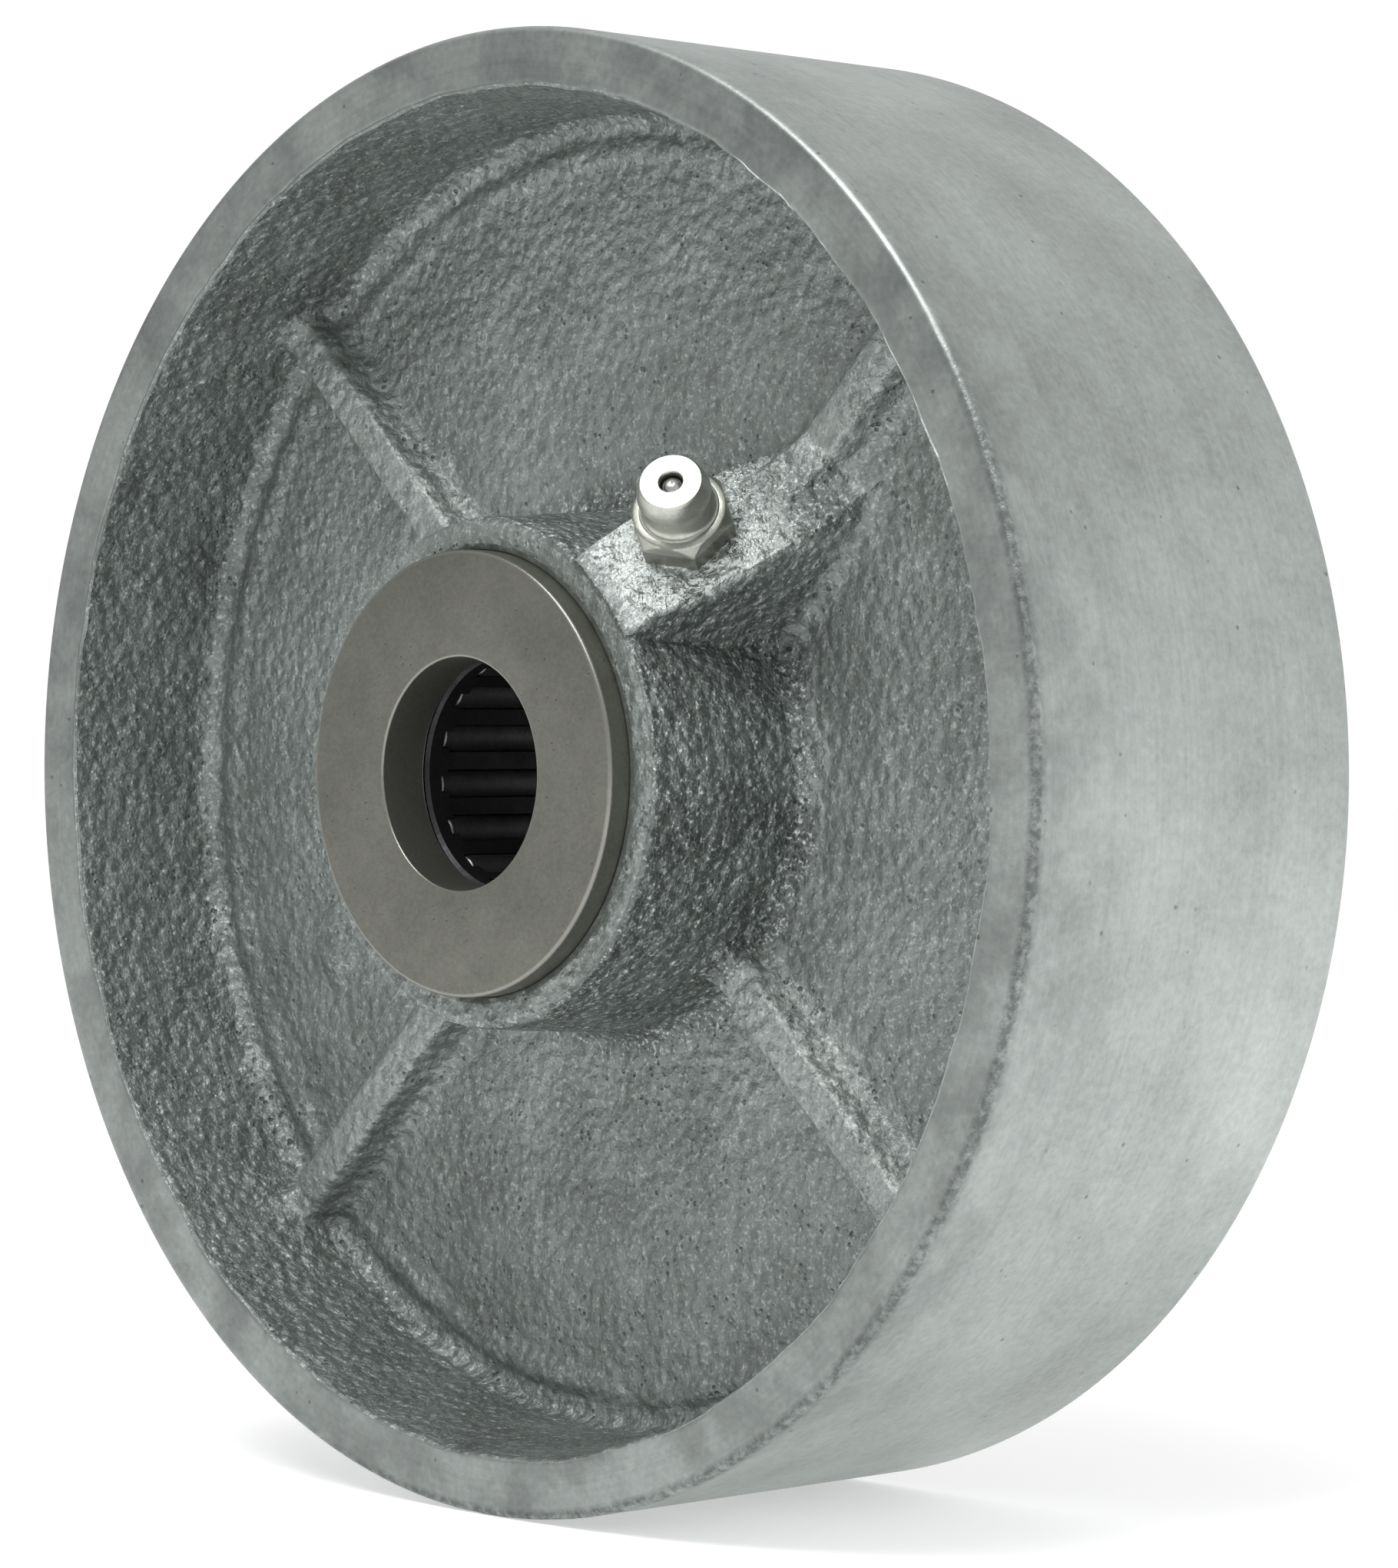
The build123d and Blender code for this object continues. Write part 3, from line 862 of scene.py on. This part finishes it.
def lathe_piece(name, outline, columns, material, masks=None, crease=None, place=None):
    """A closed solid of revolution from (radius, y) points about Y, moved by a placing function."""
    outline = np.array(outline)
    turns = np.linspace(0, math.tau, columns, endpoint=False)
    radius = outline[:, 0][:, None]
    height = np.repeat(outline[:, 1][:, None], columns, axis=1)
    points = np.stack([radius * np.cos(turns), height, radius * np.sin(turns)], axis=-1)
    if place is not None:
        points = place(points)
    faces = loop_faces(len(outline), columns)
    spread = {mask: np.repeat(values, columns) for mask, values in (masks or {}).items()}
    piece = mesh_piece(name, points.reshape(-1, 3), faces, material, spread, crease)
    face_outwards(piece)
    return piece


def coil_piece(name, place, size, material):
    """The check valve's spring: a round wire wound about the placing function's axis."""
    sides, steps = 12, 24 * size.spring_turns
    along = np.linspace(0, 1, steps + 1)[:, None]
    round_wire = np.linspace(0, math.tau, sides, endpoint=False)
    turn = along * size.spring_turns * math.tau
    reach = size.spring_coil / 2 + size.spring_wire / 2 * np.cos(round_wire)
    rise = along * (size.spring_high - size.spring_low)
    height = size.spring_low + rise + size.spring_wire / 2 * np.sin(round_wire)
    points = place(np.stack([reach * np.cos(turn), height, reach * np.sin(turn)], axis=-1))
    faces = loop_faces(steps + 1, sides)[:-sides]
    faces += [list(range(sides))[::-1], [steps * sides + side for side in range(sides)]]
    piece = mesh_piece(name, points.reshape(-1, 3), faces, material, crease=50)
    face_outwards(piece)
    return piece


def face_outwards(piece):
    """Turn the faces over if the mesh is inside out."""
    mesh = piece.data
    mesh.calc_loop_triangles()
    volume = 0.0
    for triangle in mesh.loop_triangles:
        a, b, c = [mesh.vertices[index].co for index in triangle.vertices]
        volume += a.dot(b.cross(c))
    if volume < 0:
        mesh.flip_normals()


def bevelled(points, rounds, steps=5):
    """An outline whose corners are rounded, with a mark of 1 on the rounded stretches."""
    outline, marks = [], []
    count = len(points)
    for index, (point, size) in enumerate(zip(points, rounds)):
        point = np.array(point)
        before = np.array(points[index - 1]) - point
        after = np.array(points[(index + 1) % count]) - point
        if size <= 0:
            outline.append(point)
            marks.append(0.0)
            continue
        start = point + before / np.linalg.norm(before) * size
        end = point + after / np.linalg.norm(after) * size
        for share in np.linspace(0, 1, steps):
            outline.append((1 - share) ** 2 * start + 2 * share * (1 - share) * point + share**2 * end)
            marks.append(1.0 if 0 < share < 1 else 0.0)
    return outline, marks


def finish_node(node, material):
    """Give a piece of the mechanical frame its finish."""
    mesh = frame["nodes"][node].data
    mesh.materials.clear()
    mesh.materials.append(material)


class CASTWHEEL_OT_casting(bpy.types.Operator):
    """Build the casting's skin over the plain one of the frame"""

    bl_idname = "cast_wheel.casting"
    bl_label = "Build Casting"

    def execute(self, context):
        points, marks = Casting().build()
        points = roughen(points, marks)
        points = add_foundry_marks(points)
        masks = casting_masks(points, marks)
        rows, columns = points.shape[:2]
        faces = loop_faces(rows, columns)
        piece = mesh_piece("wheel_casting_skin", points.reshape(-1, 3), faces, cast_iron(), masks, crease=50)
        face_outwards(piece)
        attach(piece, "wheel")
        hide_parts("wheel_casting")
        return {"FINISHED"}


class CASTWHEEL_OT_washers(bpy.types.Operator):
    """Build the two retaining washers with rounded edges"""

    bl_idname = "cast_wheel.washers"
    bl_label = "Build Washers"

    columns = 240

    def execute(self, context):
        size = settings("parts")
        steel = washer_steel()
        record_bore = next(m for m in frame["record"]["mounts"] if m["name"] == "axle_bore")
        hole = record_bore["dims"]["r_mm"]
        edge, hole_edge = size.washer_edge, size.washer_hole_edge
        for side, label in ((FRONT, "front"), (BACK, "back")):
            inner, outer = side * washer_inner_mm, side * washer_outer_mm
            rim = washer_radius_mm
            corners = [(hole, inner), (rim, inner), (rim, outer), (hole, outer)]
            outline, marks = bevelled(corners, (hole_edge, 0.1, edge, hole_edge), steps=6)
            name = f"retaining_washer_{label}_skin"
            piece = lathe_piece(name, outline, self.columns, steel, {"edge": marks}, crease=40)
            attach(piece, "wheel")
            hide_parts(f"retaining_washer_{label}")
        return {"FINISHED"}


class CASTWHEEL_OT_fitting(bpy.types.Operator):
    """Build the grease fitting's body and finish its ball and spring"""

    bl_idname = "cast_wheel.fitting"
    bl_label = "Build Grease Fitting"

    columns = 144

    def outline(self, size):
        """(radius, height) points of the body from the shank's end up, over the head and down the bore."""
        shank, collar, neck = size.shank / 2, size.collar / 2, size.neck / 2
        head, top, tall = size.head / 2, size.head_top / 2, size.fitting_height
        corner = size.hex_flats / math.sqrt(3)
        flat = size.hex_flats / 2
        low = -size.shank_length
        points = [(size.inlet / 2, low), (shank - 0.4, low), (shank, low + 0.4), (shank, -0.01)]
        points += [(corner, -0.01), (corner, 0.12), (corner, 0.6 * size.hex_height)]
        ledge = size.hex_height + 0.05
        for share in np.linspace(0, 1, 8):
            points.append((corner + 0.02 - share * (corner - flat + 0.04),
                           0.60 * size.hex_height + share * (ledge - 0.60 * size.hex_height)))
        points += [(flat - 0.14, ledge + 0.06), (collar + 0.10, ledge + 0.12), (collar + 0.04, ledge + 0.26)]
        base = ledge + 0.30
        points.append((collar - 0.06, base))
        for turn in arc(9)[1:]:
            radius = neck + (collar - 0.06 - neck) * (1 - math.sin(turn))
            points.append((radius, base + 1.15 * (1 - math.cos(turn))))
        points.append((neck, size.neck_height + 0.22))
        points.append((neck + 0.10, size.neck_height + 0.34))
        points.append((head - 0.08, size.shoulder_height - 0.07))
        for share in np.linspace(0, 1, 8):
            bulge = 0.07 * math.sin(math.pi * share)
            height = size.shoulder_height + share * (tall - 0.08 - size.shoulder_height)
            points.append((head - share * (head - top - 0.04) + bulge, height))
        points += [(top - 0.06, tall), (0.6 * top, tall), (size.mouth / 2 + 0.08, tall)]
        points += [(size.mouth / 2, tall - 0.1), (size.mouth / 2, tall - size.mouth_length)]
        points.append((size.bore / 2, tall - size.mouth_length - size.seat_length))
        points += [(size.bore / 2, size.spring_seat), (size.inlet / 2, size.spring_seat)]
        return points

    def execute(self, context):
        size = settings("parts")
        seat = fitting_mouth - fitting_axis * size.fitting_height
        first_rib = settings("casting").first_rib
        across = Vector((-math.sin(first_rib), 0, math.cos(first_rib)))
        third = fitting_axis.cross(across)
        flat = size.hex_flats / 2
        soften = 0.05

        def place(points):
            turns = np.arctan2(points[..., 2], points[..., 0])
            radius = np.hypot(points[..., 0], points[..., 2])
            height = points[..., 1]
            sector = (turns - size.hex_turn) % (math.pi / 3) - math.pi / 6
            limit = flat / np.cos(sector)
            in_hex = (height >= -0.02) & (height < size.hex_height + 0.5)
            in_hex &= radius > size.collar / 2 + 0.2
            radius = np.where(in_hex, soft_min(radius, limit, soften), radius)
            first, second = radius * np.cos(turns), radius * np.sin(turns)
            columns = [first[..., None] * np.array(across), second[..., None] * np.array(third),
                       height[..., None] * np.array(fitting_axis)]
            return np.array(seat) + sum(columns)

        outline = self.outline(size)
        heights = np.array([height for radius, height in outline])
        # Full darkening on the hexagon's lower part, less on its ledge under the collar, none above.
        ledge_darkening = np.where(heights < size.hex_height + 0.3, 0.35, 0.0)
        masks = {"darkening": np.where(heights > 0.6 * size.hex_height, ledge_darkening, 1.0)}
        piece = lathe_piece("grease_fitting_skin", outline, self.columns, zinc_plate(), masks, 38, place)
        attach(piece, "wheel")
        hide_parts("grease_fitting_body")
        colours = settings("colours")
        finish_node("grease_check_ball", polished_ball())
        spring = coil_piece("grease_check_spring_skin", place, size,
                            oily_steel("spring_finish", colours.bearing, 0.3, 0.6))
        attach(spring, "wheel")
        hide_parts("grease_check_spring")
        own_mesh(spring)
        return {"FINISHED"}


class CASTWHEEL_OT_bearing(bpy.types.Operator):
    """Finish the race, the cage and the rollers"""

    bl_idname = "cast_wheel.bearing"
    bl_label = "Finish Bearing"

    def execute(self, context):
        colours = settings("colours")
        race = oily_steel("race_finish", colours.bearing, 0.32, 0.5)
        cage = oily_steel("cage_finish", colours.cage, 0.42, 0.45)
        rollers = oily_steel("roller_finish", colours.bearing, 0.30, 0.55)
        finish_node("outer_race", race)
        for node in ("cage_ring_front", "cage_ring_back", "cage_bars"):
            finish_node(node, cage)
        for node in frame["nodes"]:
            if node.startswith("roller_"):
                finish_node(node, rollers)
        return {"FINISHED"}


class CASTWHEEL_OT_stage(bpy.types.Operator):
    """Lay the floor, hang the soft lights and set up the camera"""

    bl_idname = "cast_wheel.stage"
    bl_label = "Build Stage"

    def light(self, name, place, width, tall, power):
        lamp = bpy.data.lights.new(name, "AREA")
        lamp.shape = "RECTANGLE"
        lamp.size = width
        lamp.size_y = tall
        lamp.energy = power
        holder = bpy.data.objects.new(name, lamp)
        holder.location = place
        holder.rotation_euler = (-Vector(place)).to_track_quat("-Z", "Y").to_euler()
        bpy.context.scene.collection.objects.link(holder)

    def floor(self):
        low = cad_box[0][2]
        reach = 4.0
        steps = 8
        turns = np.linspace(0, math.tau, 64, endpoint=False)
        rings = [(0.02 + reach * (step / steps) ** 2) for step in range(steps + 1)]
        points = [(ring * math.cos(turn), ring * math.sin(turn), low) for ring in rings for turn in turns]
        points.append((0, 0, low))
        count = len(turns)
        faces = [
            (ring * count + index, ring * count + (index + 1) % count,
             (ring + 1) * count + (index + 1) % count, (ring + 1) * count + index)
            for ring in range(steps) for index in range(count)
        ]
        faces += [(len(points) - 1, (index + 1) % count, index) for index in range(count)]
        floor = mesh_piece("floor", np.array(points) / MM, faces, pale_floor())

    def camera(self, stage):
        back = Vector((
            math.sin(stage.azimuth) * math.cos(stage.elevation),
            -math.cos(stage.azimuth) * math.cos(stage.elevation),
            math.sin(stage.elevation),
        ))
        right = Vector((math.cos(stage.azimuth), math.sin(stage.azimuth), 0))
        lens = bpy.data.cameras.new("camera")
        lens.lens = stage.lens
        lens.sensor_width = 36
        lens.clip_start = 0.01
        holder = bpy.data.objects.new("camera", lens)
        up = back.cross(right)
        holder.location = back * stage.distance + right * stage.aside + up * stage.rise
        holder.rotation_euler = (math.pi / 2 - stage.elevation, 0, stage.azimuth)
        bpy.context.scene.collection.objects.link(holder)
        bpy.context.scene.camera = holder

    def surroundings(self, context, stage):
        """White to look at, and as a light brighter behind the tread than behind the hub's face."""
        world = bpy.data.worlds.new("surroundings")
        world.use_nodes = True
        graph = Graph(world.node_tree)
        direction = graph.node("ShaderNodeTexCoord", {}, {}, "Generated")
        x = graph.node("ShaderNodeSeparateXYZ", {}, {0: direction}, "X")
        y = graph.node("ShaderNodeSeparateXYZ", {}, {0: direction}, "Y")
        level = stage.world + stage.world_turn * 0.7 * (x + y)
        seen = graph.node("ShaderNodeLightPath", {}, {}, "Is Camera Ray")
        strength = level + seen * (1.02 - level)
        background = graph.node("ShaderNodeBackground", {}, {"Color": (1, 1, 1, 1), "Strength": strength})
        graph.node("ShaderNodeOutputWorld", {}, {"Surface": background}, None)
        context.scene.world = world

    def execute(self, context):
        stage = settings("stage")
        self.camera(stage)
        self.floor()
        self.surroundings(context, stage)
        self.light("key_light", (0.10, -0.38, 0.62), 0.5, 0.35, stage.key)
        self.light("side_light", (0.75, 0.15, 0.35), 0.4, 0.5, stage.fill)
        context.scene.view_settings.view_transform = "Standard"
        return {"FINISHED"}


class CASTWHEEL_PT_panel(bpy.types.Panel):
    """Sizes, colours and build steps of the cast wheel"""

    bl_idname = "CASTWHEEL_PT_panel"
    bl_label = "Cast Wheel"
    bl_space_type = "VIEW_3D"
    bl_region_type = "UI"
    bl_category = "Cast Wheel"

    def draw(self, context):
        layout = self.layout
        for operator in OPERATORS:
            layout.operator(operator.bl_idname)
        for group in GROUPS:
            box = layout.box()
            box.label(text=group)
            for name in settings(group).bl_rna.properties.keys():
                if name not in ("rna_type", "name"):
                    box.prop(settings(group), name)


OPERATORS = (CASTWHEEL_OT_casting, CASTWHEEL_OT_washers, CASTWHEEL_OT_fitting, CASTWHEEL_OT_bearing,
             CASTWHEEL_OT_stage)
GROUPS = {"casting": CastWheelCasting, "parts": CastWheelParts, "colours": CastWheelColours,
          "stage": CastWheelStage}


def register():
    for group, kind in GROUPS.items():
        bpy.utils.register_class(kind)
        setattr(bpy.types.Scene, "cast_wheel_" + group, PointerProperty(type=kind))
    for kind in (*OPERATORS, CASTWHEEL_PT_panel):
        bpy.utils.register_class(kind)


def unregister():
    for kind in (CASTWHEEL_PT_panel, *reversed(OPERATORS)):
        bpy.utils.unregister_class(kind)
    for group, kind in GROUPS.items():
        delattr(bpy.types.Scene, "cast_wheel_" + group)
        bpy.utils.unregister_class(kind)


def main():
    register()
    bpy.ops.cast_wheel.stage()
    bpy.ops.cast_wheel.casting()
    bpy.ops.cast_wheel.washers()
    bpy.ops.cast_wheel.fitting()
    bpy.ops.cast_wheel.bearing()


if __name__ == "__main__":
    main()
